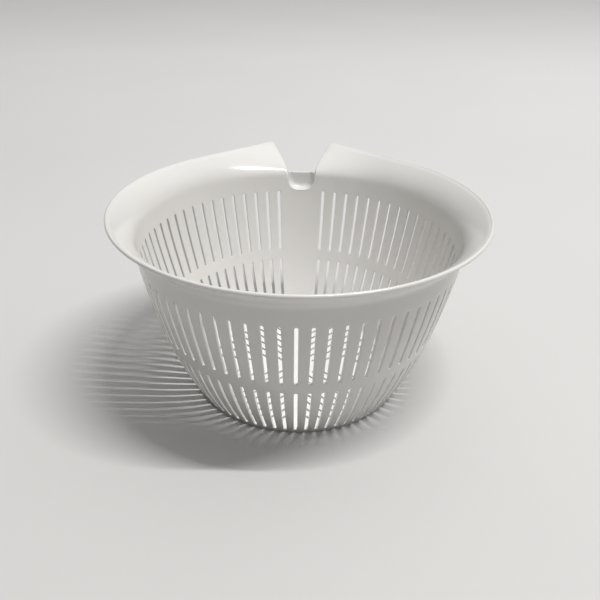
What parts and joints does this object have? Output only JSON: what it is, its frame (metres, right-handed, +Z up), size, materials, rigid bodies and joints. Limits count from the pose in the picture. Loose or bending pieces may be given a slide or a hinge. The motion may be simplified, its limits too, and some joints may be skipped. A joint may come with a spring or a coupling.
{
  "type": "salad spinner basket",
  "caption": "Slotted round basket of a salad spinner with a flared rim, a notched pouring corner, a plain back panel and a slotted flat base.",
  "frame": {"origin": "centre of the foot ring on the standing plane, on the axis of the bowl", "axes": "+Z up along the axis of the bowl, +Y towards the notched pouring corner, +X to the right when seen from the front with the notch at the back"},
  "size_m": [0.2476, 0.2659, 0.13],
  "materials": {
    "white_moulding": "glossy white polypropylene"
  },
  "bodies": {
    "root": {"foot_ring": "white_moulding", "base_plate": "white_moulding", "lower_slot_tier": "white_moulding", "middle_band": "white_moulding", "upper_slot_tier": "white_moulding", "upper_band": "white_moulding", "back_panel": "white_moulding", "notch_pocket": "white_moulding", "rim_flange": "white_moulding", "rim_bead": "white_moulding"}
  },
  "joints": []
}
